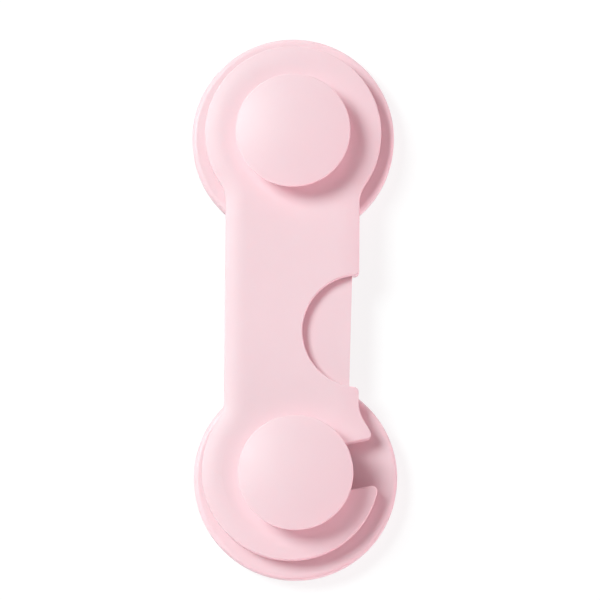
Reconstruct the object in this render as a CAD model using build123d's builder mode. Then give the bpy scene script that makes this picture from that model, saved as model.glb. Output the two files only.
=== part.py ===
from build123d import *
import os
from math import asin, cos, degrees, radians, sin, sqrt, tan

# Swing latch that keeps two cupboard or drawer fronts shut. Two round bases stick to the fronts.
# A hollow bar swings on the upper knob's neck and hooks onto the lower knob's neck. A sprung lever
# in the bar's finger notch lifts a spring strip out of the hook's slot, and then the bar swings off.
# Sizes are in millimetres, with +Z out of the fronts. The Z axis is the bar's pivot, the foam pads
# stand on z = 0 and the catch lies along -Y.

# Layout
axis_spacing = 75.05  # pivot axis to the middle of the hook's seat
head_rise = 0.45  # pivot axis to the middle of the bar's upper head
catch_play = 1.05  # how far along the slot the catch stands from the middle of the seat
catch_rest_gap = 0.25  # catch's neck to the lower flank of the slot, in which it lies low
running_gap = 0.3  # base to bar, and bar to knob

# Round bases and their foam pads
base_diameter = 45.0
base_thickness = 5.0
base_edge_radius = 1.1
base_foot_radius = 0.4
pad_margin = 2.5  # base's edge to the pad's
pad_thickness = 1.0
pad_recess = 0.5
pad_clearance = 0.2

# Mushroom knobs
knob_diameter = 25.5  # at the rim, before its edge is rounded
knob_side_height = 5.6
knob_flare = 1.2  # how far the rim stands out past the foot
knob_crown = 1.9
knob_edge_radius = 0.4
knob_foot_radius = 0.4
knob_wall = 1.8
knob_core_depth = 3.4
knob_ribs = 6
knob_rib_thickness = 1.2
neck_diameter = 7.8
key_width = 5.2
key_depth = 0.8
key_clearance = 0.1

# Screws that hold the knobs to the bases
screw_diameter = 3.0
screw_length = 10.0
screw_head_diameter = 5.6
screw_head_height = 1.5
screw_head_round = 0.75
screw_tip_chamfer = 0.75
screw_recess_length = 3.2
screw_recess_width = 0.8
screw_recess_depth = 0.9
screw_fit = 0.03
screw_clearance = 0.15
screw_end_room = 0.4

# Swing bar: a cover closed from below by a plate
head_radius = 19.6
bar_width = 29.7
bar_thickness = 4.6
blend_radius = 8.0
bar_crown_width = 2.6  # of the slope that runs round the bar's top
bar_crown_drop = 0.7
bar_crown_radius = 14.0  # from the flat top to that slope
bar_crown_overhang = 1.0  # how far the crown is drawn past the bar's sides
bar_edge_radius = 0.3
bar_foot_chamfer = 0.3
cover_wall = 1.4
back_thickness = 1.0
back_clearance = 0.1
pivot_clearance = 0.08
hook_clearance = 1.25
slot_tip_radius = 1.2
blend_room = 0.1  # left between a waist and the slot's rounded tip or the notch's corner

# Finger notch, a half circle in the bar's right side
notch_radius = 12.5
notch_rise = 31.2  # above the hook's seat
notch_corner_radius = 1.0
notch_lip = 1.2
notch_depth = 2.2  # bar's top down to the lever

# Screws that hold the plate to the cover
bar_screw_diameter = 2.0
bar_screw_tip_cover = 1.5  # bar's top down to the screw's tip
bar_screw_head_diameter = 3.8
bar_screw_recess_length = 2.0
bar_screw_recess_width = 0.5
bar_screw_recess_depth = 0.6
boss_wall = 1.3
pivot_boss_angles = (25.0, 155.0)
hook_boss_angles = (180.0, -62.0)

# Release lever and its pin
lever_gap = 0.2
lever_stop_gap = 0.1
lever_overlap = 2.0  # how far the pad runs on under the cover, past the notch
lever_slant = 1.2  # degrees, the pad's edge against the bar's side
lever_corner_radius = 1.2
lever_arm_gap = 0.7  # arm to the slot's wall
lever_flank_rise = 10.2  # pin up to where the arm's flank meets the pad
lever_boss_radius = 3.4
lever_boss_gap = 0.5  # boss to the bar's wall
lever_travel = 9.5  # degrees that the lever turns when it is pressed
lever_pin_angle = 133.5  # degrees about the hook's seat
lever_pin_diameter = 3.0
lever_pin_depth = 0.7
lever_pin_fit = 0.02
lever_pin_chamfer = 0.2

# Springs
strip_thickness = 0.5
strip_bend_radius = 1.0
strip_grip = 4.5
strip_fit = 0.02
strip_wall = 2.95  # strip's middle to the side of the lever's arm
nose_reach = 3.2  # into the slot
nose_gap = 0.9
nose_run = 3.2
window_margin = 0.8
window_swing = 0.8  # more room on the side that the strip swings to
spring_thickness = 0.4
spring_room = 7.0
spring_span = 22.0
spring_gap = 0.1
spring_stop_width = 1.2
spring_stop_height = 1.0
spring_stop_room = 1.2

# Heights
base_bottom = pad_thickness - pad_recess
base_top = base_bottom + base_thickness
key_bottom = base_top - key_depth
head_seat = pad_thickness + screw_head_height + key_clearance
screw_hole_top = head_seat + screw_length + screw_end_room
bar_bottom = base_top + running_gap
bar_top = bar_bottom + bar_thickness
cover_ceiling = bar_top - cover_wall
back_top = bar_bottom + back_thickness
lever_bottom = back_top + lever_gap
lever_top = bar_top - notch_depth
knob_bottom = bar_top + running_gap
knob_side_top = knob_bottom + knob_side_height
knob_top = knob_side_top + knob_crown

# Places and widths in plan
seat = Vector(0, -axis_spacing)
catch = seat + Vector(catch_play, catch_rest_gap - hook_clearance)
pad_radius = base_diameter / 2 - pad_margin
knob_radius = knob_diameter / 2
knob_foot = knob_radius - knob_flare
neck_radius = neck_diameter / 2
slot_width = neck_diameter + 2 * hook_clearance
slot_sweep = degrees(asin((head_radius + slot_width) / axis_spacing))
hub_radius = neck_radius + pivot_clearance + cover_wall
half_width = bar_width / 2
inner_half_width = half_width - cover_wall
notch_centre = seat + Vector(half_width, notch_rise)
lever_pin_reach = head_radius - cover_wall - lever_boss_gap - lever_boss_radius
lever_pin_place = seat + Vector(lever_pin_reach, 0).rotate(Axis.Z, lever_pin_angle)
lever_pin_radius = lever_pin_diameter / 2
bar_screw_length = bar_thickness - bar_screw_tip_cover
bar_screw_radius = bar_screw_diameter / 2
bar_screw_head_radius = bar_screw_head_diameter / 2
boss_radius = bar_screw_radius + boss_wall
boss_circle = (hub_radius + head_radius - cover_wall) / 2
bar_screw_places = [Vector(boss_circle, 0).rotate(Axis.Z, angle) for angle in pivot_boss_angles]
bar_screw_places += [seat + Vector(boss_circle, 0).rotate(Axis.Z, angle) for angle in hook_boss_angles]


def downwards(place, height):
    """Plane at a place in plan that looks down, for holes that are drilled from below."""
    return Plane((place.X, place.Y, height), x_dir=(1, 0, 0), z_dir=(0, 0, -1))


def waist_blend():
    """Radius from the bar's side to its head, limited by the slot's rounded tip and the notch's corner."""
    inner_flank = axis_spacing - slot_width / 2 - slot_tip_radius
    inner_head = head_radius - slot_tip_radius
    tip_rise = (inner_head**2 + axis_spacing**2 - inner_flank**2) / (2 * axis_spacing)
    shoulder = asin(tip_rise / inner_head) + blend_room / head_radius
    by_slot = (head_radius * cos(shoulder) - half_width) / (1 - cos(shoulder))
    corner_reach = sqrt((notch_radius + notch_corner_radius) ** 2 - notch_corner_radius**2)
    notch_foot = notch_rise - corner_reach - blend_room
    by_notch = (notch_foot**2 - head_radius**2 + half_width**2) / (2 * (head_radius - half_width))
    return min(blend_radius, by_slot, by_notch)


def bar_outline(inset=0.0):
    """Draw the bar's outline without its cuts, moved inwards by inset."""
    side = half_width - inset
    with Locations((0, head_rise), seat):
        Circle(head_radius - inset)
    with Locations(seat / 2):
        Rectangle(2 * side, axis_spacing)
    waists = vertices().filter_by(lambda v: abs(abs(v.X) - side) < 0.001)
    fillet(waists, waist_blend() + inset)


def hook_slot(margin=0.0):
    """Cut the slot that the catch's neck leaves by, an arc about the pivot, widened by margin."""
    path = CenterArc((0, 0), axis_spacing, -90, slot_sweep, mode=Mode.PRIVATE)
    SlotArc(path, slot_width + 2 * margin, mode=Mode.SUBTRACT)


def finger_notch(margin=0.0):
    """Cut the round finger notch, widened by margin."""
    with Locations(notch_centre):
        Circle(notch_radius + margin, mode=Mode.SUBTRACT)


def is_slot_tip(v):
    """Does a corner of the bar's plan lie at the mouth of the slot?"""
    flank = abs(abs(Vector(v.X, v.Y).length - axis_spacing) - slot_width / 2)
    return v.X > slot_width and flank < 0.001


def is_notch_corner(v):
    """Does a corner of the bar's plan lie on the finger notch?"""
    return abs((Vector(v.X, v.Y) - notch_centre).length - notch_radius) < 0.001


def slot_wall_top(x):
    """Height in plan of the upper slot wall's far side at x."""
    wall_radius = axis_spacing - slot_width / 2 - cover_wall
    return -sqrt(wall_radius**2 - x**2)


def save(piece, name):
    """Label a finished piece and write its STEP file."""
    piece.part.label = name
    export_step(piece.part, f"parts/{name}.step")


os.makedirs("parts", exist_ok=True)

# The two stick-on ends are the same mouldings: foam pad, base, knob and screw
for end, place in (("pivot", Vector(0, 0)), ("catch", catch)):
    front = Plane((place.X, place.Y, 0))
    section = Plane((place.X, place.Y, 0), x_dir=(1, 0, 0), z_dir=(0, -1, 0))
    axis = Axis((place.X, place.Y, 0), (0, 0, 1))

    with BuildPart() as pad:
        with BuildSketch(front):
            Circle(pad_radius)
        extrude(amount=pad_thickness)
    save(pad, f"{end}_pad")

    with BuildPart() as base:
        with BuildSketch(front.offset(base_bottom)):
            Circle(base_diameter / 2)
        extrude(amount=base_thickness)
        fillet(base.edges().group_by(Axis.Z)[-1], base_edge_radius)
        fillet(base.edges().group_by(Axis.Z)[0], base_foot_radius)
        with BuildSketch(front.offset(base_bottom)):
            Circle(pad_radius + pad_clearance)
        extrude(amount=pad_recess, mode=Mode.SUBTRACT)
        with BuildSketch(front.offset(base_top)):
            Rectangle(key_width + 2 * key_clearance, key_width + 2 * key_clearance)
        extrude(amount=-key_depth - key_clearance, mode=Mode.SUBTRACT)
        with Locations(downwards(place, pad_thickness)):
            CounterBoreHole(
                radius=screw_diameter / 2 + screw_clearance,
                counter_bore_radius=screw_head_diameter / 2 + screw_clearance,
                counter_bore_depth=head_seat - pad_thickness,
            )
    save(base, f"{end}_base")

    with BuildPart() as knob:
        with BuildSketch(section) as cap_section:
            with BuildLine():
                Line((0, knob_top), (0, knob_bottom))
                Line((0, knob_bottom), (knob_foot, knob_bottom))
                Line((knob_foot, knob_bottom), (knob_radius, knob_side_top))
                TangentArc((0, knob_top), (knob_radius, knob_side_top), tangent=(1, 0))
            make_face()
            fillet(cap_section.vertices().sort_by(Axis.X)[-2], knob_foot_radius)
            fillet(cap_section.vertices().sort_by(Axis.X)[-1], knob_edge_radius)
        revolve(axis=axis)
        with BuildSketch(front.offset(knob_bottom)):
            Circle(knob_foot - knob_wall)
            Circle(neck_radius + knob_wall, mode=Mode.SUBTRACT)
            with PolarLocations(knob_radius / 2, knob_ribs):
                Rectangle(knob_radius, knob_rib_thickness, mode=Mode.SUBTRACT)
        extrude(amount=knob_core_depth, mode=Mode.SUBTRACT)
        with BuildSketch(front.offset(knob_bottom)):
            Circle(neck_radius)
        extrude(amount=base_top - knob_bottom)
        with BuildSketch(front.offset(base_top)):
            Rectangle(key_width, key_width)
        extrude(amount=-key_depth)
        with Locations(downwards(place, key_bottom)):
            Hole(screw_diameter / 2 + screw_fit, depth=screw_hole_top - key_bottom)
    save(knob, f"{end}_knob")

    with BuildPart() as screw:
        with BuildSketch(front.offset(head_seat)):
            Circle(screw_head_diameter / 2)
        extrude(amount=-screw_head_height)
        fillet(screw.edges().group_by(Axis.Z)[0], screw_head_round)
        with BuildSketch(front.offset(head_seat)):
            Circle(screw_diameter / 2)
        extrude(amount=screw_length)
        chamfer(screw.edges().group_by(Axis.Z)[-1], screw_tip_chamfer)
        with BuildSketch(front.offset(head_seat - screw_head_height)):
            Rectangle(screw_recess_length, screw_recess_width)
            Rectangle(screw_recess_width, screw_recess_length)
        extrude(amount=screw_recess_depth, mode=Mode.SUBTRACT)
    save(screw, f"{end}_screw")

bar_foot = Plane((0, 0, bar_bottom))
lever_foot = Plane((0, 0, lever_bottom))

# Nose of the catch strip, in the slot beside the catch's neck
nose = Vector(0, slot_width / 2 - nose_reach) + seat
nose.X = catch.X + sqrt(neck_radius**2 - (nose.Y - catch.Y) ** 2) + nose_gap
strip_leg = nose + Vector(nose_run, nose_run)
arm_right = strip_leg.X + strip_wall
arm_corner = Vector(arm_right, slot_wall_top(arm_right) + lever_arm_gap)
strip_top = Vector(strip_leg.X, arm_corner.Y + strip_grip)

# The bar's crowned top: flat in the middle, with a gentle slope all round
with BuildPart() as bar_crown:
    with BuildSketch(bar_foot):
        bar_outline(-bar_crown_overhang)
    extrude(amount=bar_thickness)
    top = bar_crown.faces().sort_by(Axis.Z)[-1]
    slope_width = bar_crown_width + bar_crown_overhang
    chamfer(top.edges(), slope_width, slope_width * bar_crown_drop / bar_crown_width, reference=top)
    fillet(bar_crown.faces().sort_by(Axis.Z)[-1].edges(), bar_crown_radius)

with BuildPart() as bar_cover:
    with BuildSketch(bar_foot) as bar_plan:
        bar_outline()
        hook_slot()
        finger_notch()
        fillet(bar_plan.vertices().filter_by(is_slot_tip), slot_tip_radius)
        fillet(bar_plan.vertices().filter_by(is_notch_corner), notch_corner_radius)
    extrude(amount=bar_thickness)
    add(bar_crown.part, mode=Mode.INTERSECT)
    walls = bar_cover.faces().filter_by(lambda f: abs(f.normal_at().Z) < 0.001)
    rim = walls.edges().filter_by(lambda e: e.bounding_box().min.Z > back_top)
    fillet(rim, bar_edge_radius)
    chamfer(bar_cover.edges().group_by(Axis.Z)[0], bar_foot_chamfer)
    # Hollow from below, with walls left round the pivot and the slot
    with BuildSketch(bar_foot):
        bar_outline(cover_wall)
        Circle(hub_radius, mode=Mode.SUBTRACT)
        hook_slot(cover_wall)
    extrude(amount=lever_top + lever_gap - bar_bottom, mode=Mode.SUBTRACT)
    # Above the lever a lip is left round the notch too
    with BuildSketch(Plane((0, 0, lever_top + lever_gap))):
        bar_outline(cover_wall)
        Circle(hub_radius, mode=Mode.SUBTRACT)
        hook_slot(cover_wall)
        finger_notch(notch_lip)
    extrude(amount=cover_ceiling - lever_top - lever_gap, mode=Mode.SUBTRACT)
    # Screw bosses, and stops for the ends of the bow spring
    with BuildSketch(Plane((0, 0, back_top))):
        with Locations(bar_screw_places):
            Circle(boss_radius)
        stop_reach = spring_span / 2 + spring_stop_room + spring_stop_width / 2
        for stop in (notch_centre.Y - stop_reach, notch_centre.Y + stop_reach):
            with Locations((-inner_half_width, stop)):
                Rectangle(2 * spring_stop_height, spring_stop_width)
    extrude(amount=cover_ceiling - back_top)
    with Locations(Plane((0, 0, bar_bottom))):
        Hole(neck_radius + pivot_clearance)
    with Locations([downwards(p, back_top) for p in bar_screw_places]):
        Hole(bar_screw_radius + screw_fit, depth=bar_screw_length + screw_end_room - back_thickness)
    with Locations(downwards(lever_pin_place, cover_ceiling)):
        Hole(lever_pin_radius + lever_pin_fit, depth=lever_pin_depth + lever_pin_fit)
    # Window through the slot's upper wall for the catch strip
    with BuildSketch(lever_foot):
        with Locations((nose.X - window_margin, seat.Y)):
            window_width = nose_run + 2 * window_margin + window_swing
            Rectangle(window_width, slot_width, align=(Align.MIN, Align.MIN))
    extrude(amount=lever_top - lever_bottom + lever_gap / 2, mode=Mode.SUBTRACT)
save(bar_cover, "bar_cover")

with BuildPart() as bar_back:
    with BuildSketch(bar_foot):
        bar_outline(cover_wall + back_clearance)
        Circle(hub_radius + back_clearance, mode=Mode.SUBTRACT)
        hook_slot(cover_wall + back_clearance)
        finger_notch()
    extrude(amount=back_thickness)
    with Locations([downwards(p, bar_bottom) for p in bar_screw_places]):
        CounterSinkHole(
            radius=bar_screw_radius + screw_clearance,
            counter_sink_radius=bar_screw_head_radius + screw_fit,
            counter_sink_angle=90,
        )
    with Locations(downwards(lever_pin_place, bar_bottom)):
        Hole(lever_pin_radius + lever_pin_fit)
save(bar_back, "bar_back")

with BuildPart() as bar_screws:
    with BuildSketch(bar_foot):
        with Locations(bar_screw_places):
            Circle(bar_screw_head_radius)
    extrude(amount=bar_screw_head_radius - bar_screw_radius, taper=45)
    with BuildSketch(bar_foot):
        with Locations(bar_screw_places):
            Circle(bar_screw_radius)
    extrude(amount=bar_screw_length)
    with BuildSketch(bar_foot):
        with Locations(bar_screw_places):
            Rectangle(bar_screw_recess_length, bar_screw_recess_width)
            Rectangle(bar_screw_recess_width, bar_screw_recess_length)
    extrude(amount=bar_screw_recess_depth, mode=Mode.SUBTRACT)
save(bar_screws, "bar_screws")

# The lever's plan: a pad that fills the notch, and an arm that runs round to the pin and the slot
pad_top = notch_centre.Y + notch_radius + lever_overlap
pad_low = notch_centre.Y - notch_radius - lever_overlap
pad_right = inner_half_width - lever_stop_gap
pad_left = spring_room - inner_half_width
pad_right_low = pad_right - (pad_top - pad_low) * tan(radians(lever_slant))
arm_low = seat.Y + slot_width / 2 + cover_wall + lever_arm_gap
rim_travel = 2 * sin(radians(lever_travel / 2)) * (notch_centre - lever_pin_place).length


def lever_outline():
    """Draw the lever's plan without its pin boss."""
    Polygon(
        (pad_left, pad_top),
        (pad_right, pad_top),
        (pad_right_low, pad_low),
        arm_corner,
        (lever_pin_place.X, arm_low),
        lever_pin_place + Vector(0, lever_boss_radius),
        (pad_left, lever_pin_place.Y + lever_flank_rise),
        align=None,
    )
    fillet(vertices().group_by(Axis.Y)[-1], lever_corner_radius)


with BuildPart() as release_lever:
    with BuildSketch(lever_foot):
        lever_outline()
    extrude(amount=lever_top - lever_bottom)
    # Taller boss on the pin, up to the cover
    with BuildSketch(lever_foot):
        with Locations(lever_pin_place):
            Circle(lever_boss_radius)
    extrude(amount=cover_ceiling - lever_gap / 2 - lever_bottom)
    # Deeper rim for the finger, which stays clear of the plate when the lever is pressed
    with BuildSketch(Plane((0, 0, bar_bottom + lever_gap))):
        lever_outline()
        with Locations(notch_centre):
            Circle(notch_radius - rim_travel - lever_gap, mode=Mode.INTERSECT)
    extrude(amount=back_thickness)
    with Locations(downwards(lever_pin_place, lever_bottom)):
        Hole(lever_pin_radius + pivot_clearance)
    # Slit that grips the catch strip
    with BuildSketch(lever_foot):
        with Locations(strip_top + Vector(0, strip_thickness)):
            Rectangle(strip_thickness + 2 * strip_fit, 2 * strip_grip, align=(Align.CENTER, Align.MAX))
    extrude(amount=lever_top - lever_bottom, mode=Mode.SUBTRACT)
save(release_lever, "release_lever")

with BuildPart() as lever_pin:
    with BuildSketch(bar_foot):
        with Locations(lever_pin_place):
            Circle(lever_pin_radius)
    extrude(amount=cover_ceiling + lever_pin_depth - bar_bottom)
    chamfer(lever_pin.edges().group_by(Axis.Z)[-1], lever_pin_chamfer)
save(lever_pin, "lever_pin")

# Both springs stand within the lever's thickness
spring_foot = Plane((0, 0, lever_bottom + lever_gap / 2))
spring_height = lever_top - lever_bottom - lever_gap

with BuildLine() as strip_path:
    FilletPolyline(nose, strip_leg, strip_top, radius=strip_bend_radius)

with BuildPart() as catch_spring:
    with BuildSketch(spring_foot):
        SlotArc(strip_path.wire(), strip_thickness)
    extrude(amount=spring_height)
save(catch_spring, "catch_spring")

bow_inset = spring_gap + spring_thickness / 2
bow_rise = spring_room - 2 * bow_inset
bow_radius = ((spring_span / 2) ** 2 + bow_rise**2) / (2 * bow_rise)
bow_angle = degrees(asin(spring_span / 2 / bow_radius))
with BuildLine() as bow_path:
    CenterArc((pad_left - bow_inset - bow_radius, notch_centre.Y), bow_radius, -bow_angle, 2 * bow_angle)

with BuildPart() as return_spring:
    with BuildSketch(spring_foot):
        SlotArc(bow_path.wire(), spring_thickness)
    extrude(amount=spring_height)
save(return_spring, "return_spring")
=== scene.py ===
from math import asin, cos, pi, radians, sin

import bmesh
import bpy
from bpy.props import FloatProperty, FloatVectorProperty, IntProperty, PointerProperty
from mathutils import Euler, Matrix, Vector


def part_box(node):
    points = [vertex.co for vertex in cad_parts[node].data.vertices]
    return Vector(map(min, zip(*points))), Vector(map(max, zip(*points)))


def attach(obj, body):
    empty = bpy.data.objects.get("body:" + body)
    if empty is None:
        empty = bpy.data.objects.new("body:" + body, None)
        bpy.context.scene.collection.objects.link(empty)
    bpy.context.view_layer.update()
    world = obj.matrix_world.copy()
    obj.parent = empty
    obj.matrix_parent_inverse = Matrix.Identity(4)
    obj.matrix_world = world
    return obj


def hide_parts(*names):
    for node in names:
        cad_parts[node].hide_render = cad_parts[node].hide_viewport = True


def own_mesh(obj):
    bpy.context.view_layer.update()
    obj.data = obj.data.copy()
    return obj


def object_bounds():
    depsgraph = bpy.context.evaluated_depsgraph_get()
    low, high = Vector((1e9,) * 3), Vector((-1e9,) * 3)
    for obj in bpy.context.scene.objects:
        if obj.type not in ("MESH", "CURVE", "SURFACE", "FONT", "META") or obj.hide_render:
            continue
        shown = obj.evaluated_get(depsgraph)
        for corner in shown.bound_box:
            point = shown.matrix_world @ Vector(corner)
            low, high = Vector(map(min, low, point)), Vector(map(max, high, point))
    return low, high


bl_info = {
    "name": "Swing Latch",
    "version": (1, 0, 0),
    "blender": (4, 5, 0),
    "location": "3D View > Sidebar > Swing Latch",
    "description": "Finishes, foam pads, return spring and stage of a stick-on swing latch",
    "category": "Object",
}

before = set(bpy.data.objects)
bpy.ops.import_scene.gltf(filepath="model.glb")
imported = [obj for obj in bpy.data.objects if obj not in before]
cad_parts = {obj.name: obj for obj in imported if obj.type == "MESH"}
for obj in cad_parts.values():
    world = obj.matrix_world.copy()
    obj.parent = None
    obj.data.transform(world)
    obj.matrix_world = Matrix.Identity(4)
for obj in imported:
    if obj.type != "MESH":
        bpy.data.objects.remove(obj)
CAD_LOW, CAD_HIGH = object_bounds()

BASES = ("pivot_base", "catch_base")
KNOBS = ("pivot_knob", "catch_knob")
BAR = ("bar_cover", "bar_back")
SCREWS = ("pivot_screw", "catch_screw", "bar_screws", "lever_pin")
MERGE_DISTANCE = 1e-7


# Sizes and colours that a user may change

class PlasticFinish(bpy.types.PropertyGroup):
    """Satin moulded plastic of the bar, bases, knobs and lever."""
    colour: FloatVectorProperty(
        name="Colour", description="Colour of the plastic", subtype="COLOR",
        size=3, min=0, max=1, default=(0.875, 0.64, 0.683))
    tone_shift: FloatProperty(
        name="Tone shift", description="How far the colour drifts across a moulding", subtype="FACTOR",
        min=0, max=0.2, default=0.02)
    tone_size: FloatProperty(
        name="Tone size", description="Width of the cloudy patches of tone", unit="LENGTH",
        min=0.001, default=0.016)
    roughness: FloatProperty(
        name="Roughness", description="Roughness of the satin surface", subtype="FACTOR",
        min=0, max=1, default=0.47)
    roughness_shift: FloatProperty(
        name="Roughness shift", description="How far the roughness drifts across a moulding",
        subtype="FACTOR", min=0, max=0.2, default=0.03)
    patch_size: FloatProperty(
        name="Patch size", description="Width of the patches of more or less sheen", unit="LENGTH",
        min=0.0005, default=0.0032)
    grain_size: FloatProperty(
        name="Grain size", description="Width of the mould's fine spark texture", unit="LENGTH",
        min=0.00005, default=0.00022)
    grain_depth: FloatProperty(
        name="Grain depth", description="Depth of the mould's fine spark texture", unit="LENGTH",
        min=0, default=0.000006)
    soak: FloatProperty(
        name="Light soak", description="How much light soaks into the plastic", subtype="FACTOR",
        min=0, max=1, default=0.15)
    soak_depth: FloatProperty(
        name="Soak depth", description="How far red light travels in the plastic", unit="LENGTH",
        min=0, default=0.001)
    soak_reach: FloatVectorProperty(
        name="Soak reach", description="Shares of the soak depth that red, green and blue light travel",
        subtype="COLOR", size=3, min=0, max=1, default=(1.0, 0.42, 0.48))


class FoamPadShape(bpy.types.PropertyGroup):
    """Die-cut foam discs with an adhesive film on both faces."""
    colour: FloatVectorProperty(
        name="Foam colour", description="Colour of the foam's cut edge", subtype="COLOR",
        size=3, min=0, max=1, default=(0.80, 0.80, 0.78))
    film_colour: FloatVectorProperty(
        name="Film colour", description="Colour of the adhesive film", subtype="COLOR",
        size=3, min=0, max=1, default=(0.74, 0.75, 0.72))
    cell_size: FloatProperty(
        name="Cell size", description="Width of a cell in the foam", unit="LENGTH",
        min=0.00005, default=0.00016)
    bulge: FloatProperty(
        name="Edge bulge", description="How far the squeezed edge stands out at mid height", unit="LENGTH",
        min=0, max=0.0002, default=0.00012)
    rim_round: FloatProperty(
        name="Rim round", description="Radius where the cut edge meets the film", unit="LENGTH",
        min=0, default=0.00006)
    fray: FloatProperty(
        name="Cut fray", description="Unevenness that the die leaves on the edge", unit="LENGTH",
        min=0, default=0.00003)
    film_step: FloatProperty(
        name="Film ring", description="Width of the rings that divide the film", unit="LENGTH",
        min=0.001, default=0.0035)
    sides: IntProperty(
        name="Sides", description="Points round the disc", min=24, max=512, default=192)
    edge_rings: IntProperty(
        name="Edge rings", description="Rings of points up the cut edge", min=1, max=20, default=5)


class SteelFinish(bpy.types.PropertyGroup):
    """Zinc-plated screws and bright spring strip."""
    zinc: FloatVectorProperty(
        name="Zinc colour", description="Colour of the plated screws", subtype="COLOR",
        size=3, min=0, max=1, default=(0.62, 0.62, 0.63))
    zinc_roughness: FloatProperty(
        name="Zinc roughness", description="Roughness of the plated screws", subtype="FACTOR",
        min=0, max=1, default=0.34)
    spring: FloatVectorProperty(
        name="Spring colour", description="Colour of the rolled spring strip", subtype="COLOR",
        size=3, min=0, max=1, default=(0.55, 0.55, 0.56))
    spring_roughness: FloatProperty(
        name="Spring roughness", description="Roughness of the rolled spring strip", subtype="FACTOR",
        min=0, max=1, default=0.28)
    scratch_size: FloatProperty(
        name="Scratch size", description="Width of the fine rolling and drawing marks", unit="LENGTH",
        min=0.00001, default=0.00008)
    scratch_depth: FloatProperty(
        name="Scratch depth", description="Depth of the fine marks", unit="LENGTH",
        min=0, default=0.000004)


class BowSpringShape(bpy.types.PropertyGroup):
    """Bent strip that pushes the release lever out."""
    thickness: FloatProperty(
        name="Strip thickness", description="Thickness of the strip", unit="LENGTH",
        min=0.0001, default=0.0004)
    edge_round: FloatProperty(
        name="Strip round", description="Radius on the strip's rolled edges", unit="LENGTH",
        min=0, default=0.00006)
    steps: IntProperty(
        name="Strip steps", description="Steps along the bow", min=8, max=200, default=56)
    pressed_share: FloatProperty(
        name="Pressed share", description="Share of its height that the bow keeps when pressed",
        subtype="FACTOR", min=0.05, max=1, default=0.36)


class StageSettings(bpy.types.PropertyGroup):
    """White floor, a soft box at the upper left, a room that is bright low down and the camera above."""
    aim: FloatVectorProperty(
        name="Aim", description="Point that the camera looks at", subtype="TRANSLATION", unit="LENGTH",
        size=3, default=(0.00177, -0.03604, 0.0027))
    elevation: FloatProperty(
        name="Elevation", description="Height of the camera above the horizon", subtype="ANGLE",
        default=radians(82))
    turn: FloatProperty(
        name="Turn", description="Turn of the camera about the upright", subtype="ANGLE",
        default=radians(0.385))
    distance: FloatProperty(
        name="Distance", description="Camera to the aim point", unit="LENGTH", min=0.1, default=1.2)
    lens: FloatProperty(
        name="Lens", description="Focal length in millimetres", min=10, default=323.6)
    key_direction: FloatVectorProperty(
        name="Key direction", description="Direction from the latch to the soft box", subtype="DIRECTION",
        size=3, default=(-0.75, 0.42, 1.0))
    key_distance: FloatProperty(
        name="Key distance", description="Soft box to the latch", unit="LENGTH", min=0.2, default=2.0)
    key_size: FloatProperty(
        name="Key size", description="Width of the soft box", unit="LENGTH", min=0.01, default=0.9)
    key_level: FloatProperty(
        name="Key level", description="Share of the light on a level face that the soft box gives",
        subtype="FACTOR", min=0, max=2, default=0.71)
    key_tint: FloatVectorProperty(
        name="Key tint", description="Colour of the soft box's light", subtype="COLOR",
        size=3, min=0, max=2, default=(0.84, 1.0, 0.97))
    fill_level: FloatProperty(
        name="Fill level", description="Share of the light on a level face that the room gives",
        subtype="FACTOR", min=0, max=2, default=0.385)
    fill_tint: FloatVectorProperty(
        name="Fill tint", description="Colour of the room's light", subtype="COLOR",
        size=3, min=0, max=2, default=(1.28, 1.0, 1.06))
    fill_lean: FloatVectorProperty(
        name="Fill lean", description="How far the room is brighter to one side, along X and Y",
        subtype="XYZ", size=2, default=(0.15, -0.12))
    floor_size: FloatProperty(
        name="Floor size", description="Width of the floor", unit="LENGTH", min=0.5, default=6)
    floor_bounce: FloatProperty(
        name="Floor bounce", description="White light that the floor throws back onto the latch",
        subtype="FACTOR", min=0, max=1, default=0.4)
    floor_shade: FloatProperty(
        name="Floor shade", description="How dark a shadow shows on the white floor", subtype="FACTOR",
        min=0, max=1, default=0.22)
    floor_glow: FloatProperty(
        name="Floor glow", description="White that shows on the floor without any light", subtype="FACTOR",
        min=0, max=1, default=0.81)


# Help for node trees

def new_material(name):
    """Make a node material and return it with its tree and its main shader."""
    material = bpy.data.materials.new(name)
    material.use_nodes = True
    tree = material.node_tree
    return material, tree, tree.nodes["Principled BSDF"]


def add_node(tree, kind, **sockets):
    """Add a node and set the sockets that are named, with spaces written as underscores."""
    node = tree.nodes.new(kind)
    for name, value in sockets.items():
        node.inputs[name.replace("_", " ")].default_value = value
    return node


def noise(tree, place, size, detail=2.0, roughness=0.5, stretch=(1, 1, 1)):
    """Add noise with features about size wide, stretch times as long along each axis, and return its factor."""
    mapping = add_node(tree, "ShaderNodeMapping", Scale=[1 / times for times in stretch])
    texture = add_node(tree, "ShaderNodeTexNoise", Scale=1 / size, Detail=detail, Roughness=roughness)
    tree.links.new(place, mapping.inputs["Vector"])
    tree.links.new(mapping.outputs["Vector"], texture.inputs["Vector"])
    return texture.outputs["Fac"]


def object_place(tree):
    """Add texture coordinates and return those of the object."""
    return tree.nodes.new("ShaderNodeTexCoord").outputs["Object"]


def calculate(tree, operation, first, second):
    """Add a calculation on two sockets or numbers and return its value."""
    node = tree.nodes.new("ShaderNodeMath")
    node.operation = operation
    for socket, term in zip(node.inputs, (first, second)):
        if isinstance(term, float):
            socket.default_value = term
        else:
            tree.links.new(term, socket)
    return node.outputs["Value"]


def spread(tree, factor, low, high):
    """Spread the middle of a noise factor from low to high and return the value."""
    node = add_node(tree, "ShaderNodeMapRange", From_Min=0.3, From_Max=0.7, To_Min=low, To_Max=high)
    tree.links.new(factor, node.inputs["Value"])
    return node.outputs["Result"]


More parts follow.
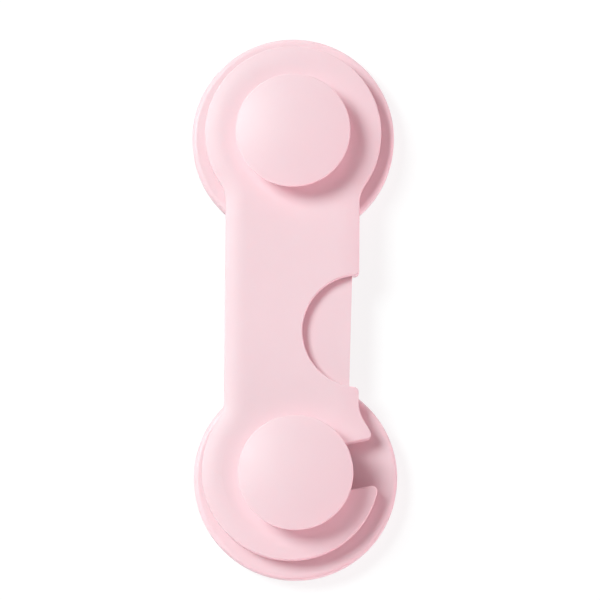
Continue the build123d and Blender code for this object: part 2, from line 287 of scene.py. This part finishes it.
def shades(tree, factor, colour, low, high):
    """Mix a darker and a lighter share of a colour by a factor and return the colour."""
    node = tree.nodes.new("ShaderNodeMix")
    node.data_type = "RGBA"
    for name, share in (("A", low), ("B", high)):
        node.inputs[name].default_value = (*(channel * share for channel in colour), 1.0)
    tree.links.new(factor, node.inputs["Factor"])
    return node.outputs["Result"]


def bump(tree, height, depth, shader):
    """Give a shader relief of a real depth."""
    node = add_node(tree, "ShaderNodeBump", Strength=1.0, Distance=depth)
    tree.links.new(height, node.inputs["Height"])
    tree.links.new(node.outputs["Normal"], shader.inputs["Normal"])


# Finishes

def moulded_plastic(finish):
    """Satin plastic with a cloudy tone, a fine mould texture and light that soaks in."""
    if known := bpy.data.materials.get("moulded_plastic"):
        return known
    material, tree, shader = new_material("moulded_plastic")
    place = object_place(tree)
    cloud = noise(tree, place, finish.tone_size)
    tone = shades(tree, cloud, finish.colour, low=1 - finish.tone_shift, high=1 + finish.tone_shift)
    tree.links.new(tone, shader.inputs["Base Color"])
    patches = noise(tree, place, finish.patch_size)
    sheen = spread(tree, patches, low=finish.roughness - finish.roughness_shift,
                   high=finish.roughness + finish.roughness_shift)
    tree.links.new(sheen, shader.inputs["Roughness"])
    grain = noise(tree, place, finish.grain_size, detail=3.0, roughness=0.6)
    bump(tree, grain, finish.grain_depth, shader)
    shader.inputs["IOR"].default_value = 1.5
    shader.inputs["Subsurface Weight"].default_value = finish.soak
    shader.inputs["Subsurface Radius"].default_value = finish.soak_reach
    shader.inputs["Subsurface Scale"].default_value = finish.soak_depth
    return material


def cut_foam(shape):
    """Fine closed-cell foam, pitted where the die has cut it, with painted shade that darkens its colour in the
    pits.
    """
    material, tree, shader = new_material("cut_foam")
    place = object_place(tree)
    cells = add_node(tree, "ShaderNodeTexVoronoi", Scale=1 / shape.cell_size, Randomness=1.0)
    tree.links.new(place, cells.inputs["Vector"])
    pits_and_painted_pit_shade = spread(tree, cells.outputs["Distance"], low=0, high=1)
    # Painted shade: the foam's colour is darker in the cell pits that the bump cuts.
    tone = shades(tree, pits_and_painted_pit_shade, shape.colour, low=0.86, high=1.04)
    tree.links.new(tone, shader.inputs["Base Color"])
    bump(tree, pits_and_painted_pit_shade, shape.cell_size / 3, shader)
    shader.inputs["Roughness"].default_value = 0.9
    return material


def adhesive_film(shape):
    """Tacky acrylic film with the orange peel of the foam under it."""
    material, tree, shader = new_material("adhesive_film")
    place = object_place(tree)
    peel = noise(tree, place, shape.cell_size * 4, detail=1.0)
    cloud = noise(tree, place, shape.film_step)
    tone = shades(tree, cloud, shape.film_colour, low=0.93, high=1.05)
    tree.links.new(tone, shader.inputs["Base Color"])
    sheen = spread(tree, cloud, low=0.22, high=0.38)
    tree.links.new(sheen, shader.inputs["Roughness"])
    bump(tree, peel, shape.cell_size / 8, shader)
    return material


def worked_steel(name, colour, roughness, stretch, finish):
    """Steel with fine marks, stretched along the way that it was rolled or drawn."""
    if known := bpy.data.materials.get(name):
        return known
    material, tree, shader = new_material(name)
    place = object_place(tree)
    marks = noise(tree, place, finish.scratch_size, stretch=stretch)
    cloud = noise(tree, place, finish.scratch_size * 20)
    tone = shades(tree, cloud, colour, low=0.9, high=1.08)
    tree.links.new(tone, shader.inputs["Base Color"])
    sheen = spread(tree, marks, low=roughness - 0.06, high=roughness + 0.08)
    tree.links.new(sheen, shader.inputs["Roughness"])
    bump(tree, marks, finish.scratch_depth, shader)
    shader.inputs["Metallic"].default_value = 1.0
    return material


def zinc_plate(finish):
    """Plated steel with marks along the screws."""
    return worked_steel("zinc_plate", finish.zinc, finish.zinc_roughness, (1, 1, 10), finish)


def spring_strip(finish):
    """Bright rolled steel with marks along the strip."""
    return worked_steel("spring_strip", finish.spring, finish.spring_roughness, (1, 20, 1), finish)


# Help for modelling

def dress(node_names, material):
    """Give CAD pieces a finish in place of the one they were packed with."""
    for name in node_names:
        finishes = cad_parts[name].data.materials
        finishes.clear()
        finishes.append(material)


def deselect():
    """Leave nothing selected, so that the next operator acts on the new piece alone."""
    bpy.ops.object.select_all(action="DESELECT")


def select(piece, kind, wanted):
    """In edit mode, select the points, edges or faces that answer a test."""
    bpy.ops.mesh.select_mode(type=kind)
    bpy.ops.mesh.select_all(action="DESELECT")
    shape = bmesh.from_edit_mesh(piece.data)
    elements = {"VERT": shape.verts, "EDGE": shape.edges, "FACE": shape.faces}
    for element in elements[kind]:
        element.select_set(wanted(element))
    shape.select_flush_mode()
    bmesh.update_edit_mesh(piece.data)


def close_mesh(smooth_angle):
    """Merge the points of the piece in edit mode, turn its faces outwards, smooth it and leave edit mode."""
    bpy.ops.mesh.select_all(action="SELECT")
    bpy.ops.mesh.remove_doubles(threshold=MERGE_DISTANCE)
    bpy.ops.mesh.normals_make_consistent(inside=False)
    bpy.ops.object.mode_set(mode="OBJECT")
    bpy.ops.object.shade_smooth_by_angle(angle=smooth_angle)


def tie(piece, body, node):
    """Tie a new piece to its body and hide the CAD node that it stands for."""
    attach(piece, body)
    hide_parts(node)


# New pieces

def lies_level(face):
    """Tell whether a face looks up or down."""
    return abs(face.normal.z) > 0.9


def foam_disc(node, shape):
    """Model a die-cut foam disc in the place of a CAD pad and return it."""
    low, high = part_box(node)
    middle = (low + high) / 2
    radius = (high.x - low.x) / 2 - shape.bulge
    height = high.z - low.z
    deselect()
    bpy.ops.mesh.primitive_cylinder_add(
        vertices=shape.sides, radius=radius, depth=height, end_fill_type="NGON", location=middle)
    piece = bpy.context.object
    bpy.ops.object.transform_apply(location=True, rotation=True, scale=True)
    bpy.ops.object.mode_set(mode="EDIT")
    # Rings up the cut edge, which then swells at mid height
    select(piece, "EDGE", lambda edge: abs(edge.verts[0].co.z - edge.verts[1].co.z) > height / 2)
    bpy.ops.mesh.subdivide(number_cuts=shape.edge_rings)
    for ring in range(1, shape.edge_rings + 1):
        share = ring / (shape.edge_rings + 1)
        level = low.z + height * share
        swell = 1 + shape.bulge * sin(pi * share) / radius
        select(piece, "VERT", lambda point: abs(point.co.z - level) < height / 100)
        bpy.ops.transform.vertex_random(offset=shape.fray, normal=1.0, seed=ring)
        bpy.ops.transform.resize(value=(swell, swell, 1), center_override=(middle.x, middle.y, level))
    # Rounded rims, and the film in rings
    select(piece, "EDGE", lambda edge: len({lies_level(face) for face in edge.link_faces}) == 2)
    bpy.ops.mesh.bevel(offset=shape.rim_round, segments=2)
    for _ in range(int(radius / shape.film_step) - 1):
        select(piece, "FACE", lambda face: len(face.verts) > 4)
        bpy.ops.mesh.inset(thickness=shape.film_step, use_individual=True)
    # Foam all over, then film on the faces
    piece.data.materials.append(cut_foam(shape))
    piece.data.materials.append(adhesive_film(shape))
    select(piece, "FACE", lies_level)
    piece.active_material_index = 1
    bpy.ops.object.material_slot_assign()
    close_mesh(smooth_angle=radians(50))
    return piece


def foam_pads(shape):
    """Model the foam disc under the pivot's base and copy it for the catch's."""
    pivot_foam = foam_disc("pivot_pad", shape)
    bpy.ops.object.duplicate()
    catch_foam = bpy.context.object
    pivot_low, catch_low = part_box("pivot_pad")[0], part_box("catch_pad")[0]
    bpy.ops.transform.translate(value=catch_low - pivot_low)
    bpy.ops.object.transform_apply(location=True, rotation=True, scale=True)
    pivot_foam.name = "pivot_foam"
    catch_foam.name = "catch_foam"
    tie(pivot_foam, "bases", "pivot_pad")
    tie(catch_foam, "bases", "catch_pad")


def bow_spring(shape, finish):
    """Model the bow spring behind the lever as a bent strip."""
    low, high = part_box("return_spring")
    thick = shape.thickness
    rise = high.x - low.x - thick
    half_span = (high.y - low.y - thick) / 2
    radius = (half_span**2 + rise**2) / (2 * rise)
    half_angle = asin(half_span / radius)
    centre = Vector((high.x - thick / 2 - radius, (low.y + high.y) / 2, (low.z + high.z) / 2))
    foot = centre + radius * Vector((cos(half_angle), -sin(half_angle), 0))
    deselect()
    bpy.ops.mesh.primitive_plane_add(size=1, location=foot, rotation=(pi / 2, 0, -half_angle))
    piece = bpy.context.object
    piece.name = "bow_spring"
    piece.scale = (thick, high.z - low.z, 1)
    bpy.ops.object.transform_apply(location=True, rotation=True, scale=True)
    bpy.ops.object.mode_set(mode="EDIT")
    bpy.ops.mesh.select_all(action="SELECT")
    bpy.ops.mesh.spin(
        steps=shape.steps, angle=-2 * half_angle, center=centre, axis=(0, 0, 1), use_auto_merge=False)
    # Closed ends
    bpy.ops.mesh.select_all(action="SELECT")
    bpy.ops.mesh.remove_doubles(threshold=MERGE_DISTANCE)
    bpy.ops.mesh.select_mode(type="EDGE")
    bpy.ops.mesh.select_all(action="DESELECT")
    bpy.ops.mesh.select_non_manifold()
    bpy.ops.mesh.fill_holes(sides=4)
    bpy.ops.mesh.select_all(action="SELECT")
    bpy.ops.mesh.normals_make_consistent(inside=False)
    # Rolled edges
    select(piece, "EDGE", lambda edge: edge.calc_face_angle() > radians(60))
    bpy.ops.mesh.bevel(offset=shape.edge_round, segments=2)
    piece.data.materials.append(spring_strip(finish))
    close_mesh(smooth_angle=radians(35))
    tie(piece, "swing_bar", "return_spring")
    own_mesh(piece)


# Stage

def white_rays(tree):
    """Return a factor that is 1 for rays that show the background, in view or in a reflection."""
    path = tree.nodes.new("ShaderNodeLightPath").outputs
    reflected = calculate(tree, "MAXIMUM", path["Is Glossy Ray"], path["Is Transmission Ray"])
    return calculate(tree, "MAXIMUM", path["Is Camera Ray"], reflected)


def white_floor(stage):
    """Lay a white floor that keeps the latch's shadow."""
    deselect()
    bpy.ops.mesh.primitive_plane_add(size=stage.floor_size, location=(0, 0, CAD_LOW.z))
    floor = bpy.context.object
    floor.name = "white_floor"
    material, tree, shader = new_material("white_floor")
    tree.nodes.remove(shader)
    bounce = add_node(tree, "ShaderNodeEmission", Strength=stage.floor_bounce)
    shade = stage.floor_shade
    shadow = add_node(tree, "ShaderNodeBsdfDiffuse", Color=(shade, shade, shade, 1))
    glow = add_node(tree, "ShaderNodeEmission", Strength=stage.floor_glow)
    seen = tree.nodes.new("ShaderNodeAddShader")
    mix = tree.nodes.new("ShaderNodeMixShader")
    tree.links.new(shadow.outputs["BSDF"], seen.inputs[0])
    tree.links.new(glow.outputs["Emission"], seen.inputs[1])
    tree.links.new(white_rays(tree), mix.inputs["Fac"])
    tree.links.new(bounce.outputs["Emission"], mix.inputs[1])
    tree.links.new(seen.outputs["Shader"], mix.inputs[2])
    tree.links.new(mix.outputs["Shader"], tree.nodes["Material Output"].inputs["Surface"])
    floor.data.materials.append(material)


def room_light(stage):
    """Light the latch from all round, from a room that is bright low down and dark overhead."""
    world = bpy.data.worlds.new("room")
    bpy.context.scene.world = world
    world.use_nodes = True
    tree = world.node_tree
    direction = tree.nodes.new("ShaderNodeTexCoord").outputs["Generated"]
    across = tree.nodes.new("ShaderNodeVectorMath")
    across.operation = "DOT_PRODUCT"
    across.inputs[1].default_value = (*stage.fill_lean, -1)
    tree.links.new(direction, across.inputs[0])
    # The room's brightness is the square of 1 + lean - height, and a level face gets level_share of it
    level_share = 1 / 6 + Vector(stage.fill_lean).length_squared / 4
    low = calculate(tree, "ADD", across.outputs["Value"], 1.0)
    fade = calculate(tree, "MULTIPLY", low, low)
    strength = calculate(tree, "MULTIPLY", fade, stage.fill_level / level_share)
    room = tree.nodes["Background"]
    room.inputs["Color"].default_value = (*stage.fill_tint, 1)
    tree.links.new(strength, room.inputs["Strength"])


def soft_box(stage):
    """Hang the soft box, with its power worked out from the light that it gives a level face."""
    towards = Vector(stage.key_direction).normalized()
    deselect()
    bpy.ops.object.light_add(type="AREA", location=Vector(stage.aim) + stage.key_distance * towards)
    lamp = bpy.context.object
    lamp.name = "soft_box"
    lamp.rotation_euler = towards.to_track_quat("Z", "Y").to_euler()
    lamp.data.shape = "DISK"
    lamp.data.color = stage.key_tint
    lamp.data.size = stage.key_size
    # A lamp of power P shows a white level face at P * towards.z / (pi * key_distance) ** 2
    lamp.data.energy = stage.key_level * (pi * stage.key_distance) ** 2 / towards.z


def camera(stage):
    """Set the camera above the latch."""
    turned = Euler((pi / 2 - stage.elevation, 0, stage.turn))
    back = turned.to_matrix() @ Vector((0, 0, stage.distance))
    deselect()
    bpy.ops.object.camera_add(location=Vector(stage.aim) + back, rotation=turned)
    view = bpy.context.object
    view.data.lens = stage.lens
    view.data.sensor_width = 36
    view.data.clip_start = stage.distance / 100
    view.data.clip_end = stage.floor_size * 2
    bpy.context.scene.camera = view


# Operators

class LATCH_OT_dress_bases(bpy.types.Operator):
    """Finish the two round bases in satin plastic"""
    bl_idname = "latch.dress_bases"
    bl_label = "Round bases"

    def execute(self, context):
        dress(BASES, moulded_plastic(context.scene.latch_plastic))
        return {"FINISHED"}


class LATCH_OT_dress_knobs(bpy.types.Operator):
    """Finish the two mushroom knobs in satin plastic"""
    bl_idname = "latch.dress_knobs"
    bl_label = "Mushroom knobs"

    def execute(self, context):
        dress(KNOBS, moulded_plastic(context.scene.latch_plastic))
        return {"FINISHED"}


class LATCH_OT_dress_bar(bpy.types.Operator):
    """Finish the swing bar's cover and back plate in satin plastic"""
    bl_idname = "latch.dress_bar"
    bl_label = "Swing bar"

    def execute(self, context):
        dress(BAR, moulded_plastic(context.scene.latch_plastic))
        return {"FINISHED"}


class LATCH_OT_dress_lever(bpy.types.Operator):
    """Finish the release lever in satin plastic"""
    bl_idname = "latch.dress_lever"
    bl_label = "Release lever"

    def execute(self, context):
        dress(["release_lever"], moulded_plastic(context.scene.latch_plastic))
        return {"FINISHED"}


class LATCH_OT_dress_screws(bpy.types.Operator):
    """Finish the screws and the lever's pin in plated steel"""
    bl_idname = "latch.dress_screws"
    bl_label = "Screws and pin"

    def execute(self, context):
        dress(SCREWS, zinc_plate(context.scene.latch_steel))
        return {"FINISHED"}


class LATCH_OT_dress_catch_strip(bpy.types.Operator):
    """Finish the catch strip in bright spring steel"""
    bl_idname = "latch.dress_catch_strip"
    bl_label = "Catch strip"

    def execute(self, context):
        dress(["catch_spring"], spring_strip(context.scene.latch_steel))
        return {"FINISHED"}


class LATCH_OT_bow_spring(bpy.types.Operator):
    """Model the bow spring that pushes the lever out"""
    bl_idname = "latch.bow_spring"
    bl_label = "Bow spring"

    def execute(self, context):
        bow_spring(context.scene.latch_bow_spring, context.scene.latch_steel)
        return {"FINISHED"}


class LATCH_OT_foam_pads(bpy.types.Operator):
    """Model the foam pads under the two bases"""
    bl_idname = "latch.foam_pads"
    bl_label = "Foam pads"

    def execute(self, context):
        foam_pads(context.scene.latch_foam)
        return {"FINISHED"}


class LATCH_OT_stage(bpy.types.Operator):
    """Set the floor, the light and the camera"""
    bl_idname = "latch.stage"
    bl_label = "Stage"

    def execute(self, context):
        stage = context.scene.latch_stage
        context.scene.view_settings.view_transform = "Standard"
        white_floor(stage)
        room_light(stage)
        soft_box(stage)
        camera(stage)
        return {"FINISHED"}


OPERATORS = (
    LATCH_OT_dress_bases, LATCH_OT_dress_knobs, LATCH_OT_dress_bar, LATCH_OT_dress_lever,
    LATCH_OT_dress_screws, LATCH_OT_dress_catch_strip, LATCH_OT_bow_spring, LATCH_OT_foam_pads,
    LATCH_OT_stage,
)
SETTINGS = {
    "latch_plastic": PlasticFinish,
    "latch_foam": FoamPadShape,
    "latch_steel": SteelFinish,
    "latch_bow_spring": BowSpringShape,
    "latch_stage": StageSettings,
}


class LATCH_PT_sidebar(bpy.types.Panel):
    """Settings and steps of the swing latch"""
    bl_idname = "LATCH_PT_sidebar"
    bl_label = "Swing Latch"
    bl_space_type = "VIEW_3D"
    bl_region_type = "UI"
    bl_category = "Swing Latch"

    def draw(self, context):
        for name, group in SETTINGS.items():
            box = self.layout.box()
            box.label(text=group.__doc__)
            for setting in group.__annotations__:
                box.prop(getattr(context.scene, name), setting)
        for operator in OPERATORS:
            self.layout.operator(operator.bl_idname)


def register():
    """Register the classes and give the scene its settings."""
    for group in SETTINGS.values():
        bpy.utils.register_class(group)
    for name, group in SETTINGS.items():
        setattr(bpy.types.Scene, name, PointerProperty(type=group))
    for operator in OPERATORS:
        bpy.utils.register_class(operator)
    bpy.utils.register_class(LATCH_PT_sidebar)


def unregister():
    """Take back what register did."""
    bpy.utils.unregister_class(LATCH_PT_sidebar)
    for operator in reversed(OPERATORS):
        bpy.utils.unregister_class(operator)
    for name in SETTINGS:
        delattr(bpy.types.Scene, name)
    for group in reversed(SETTINGS.values()):
        bpy.utils.unregister_class(group)


def main():
    """Build the latch's looks."""
    register()
    bpy.ops.latch.dress_bases()
    bpy.ops.latch.dress_knobs()
    bpy.ops.latch.dress_bar()
    bpy.ops.latch.dress_lever()
    bpy.ops.latch.dress_screws()
    bpy.ops.latch.dress_catch_strip()
    bpy.ops.latch.bow_spring()
    bpy.ops.latch.foam_pads()
    bpy.ops.latch.stage()


if __name__ == "__main__":
    main()
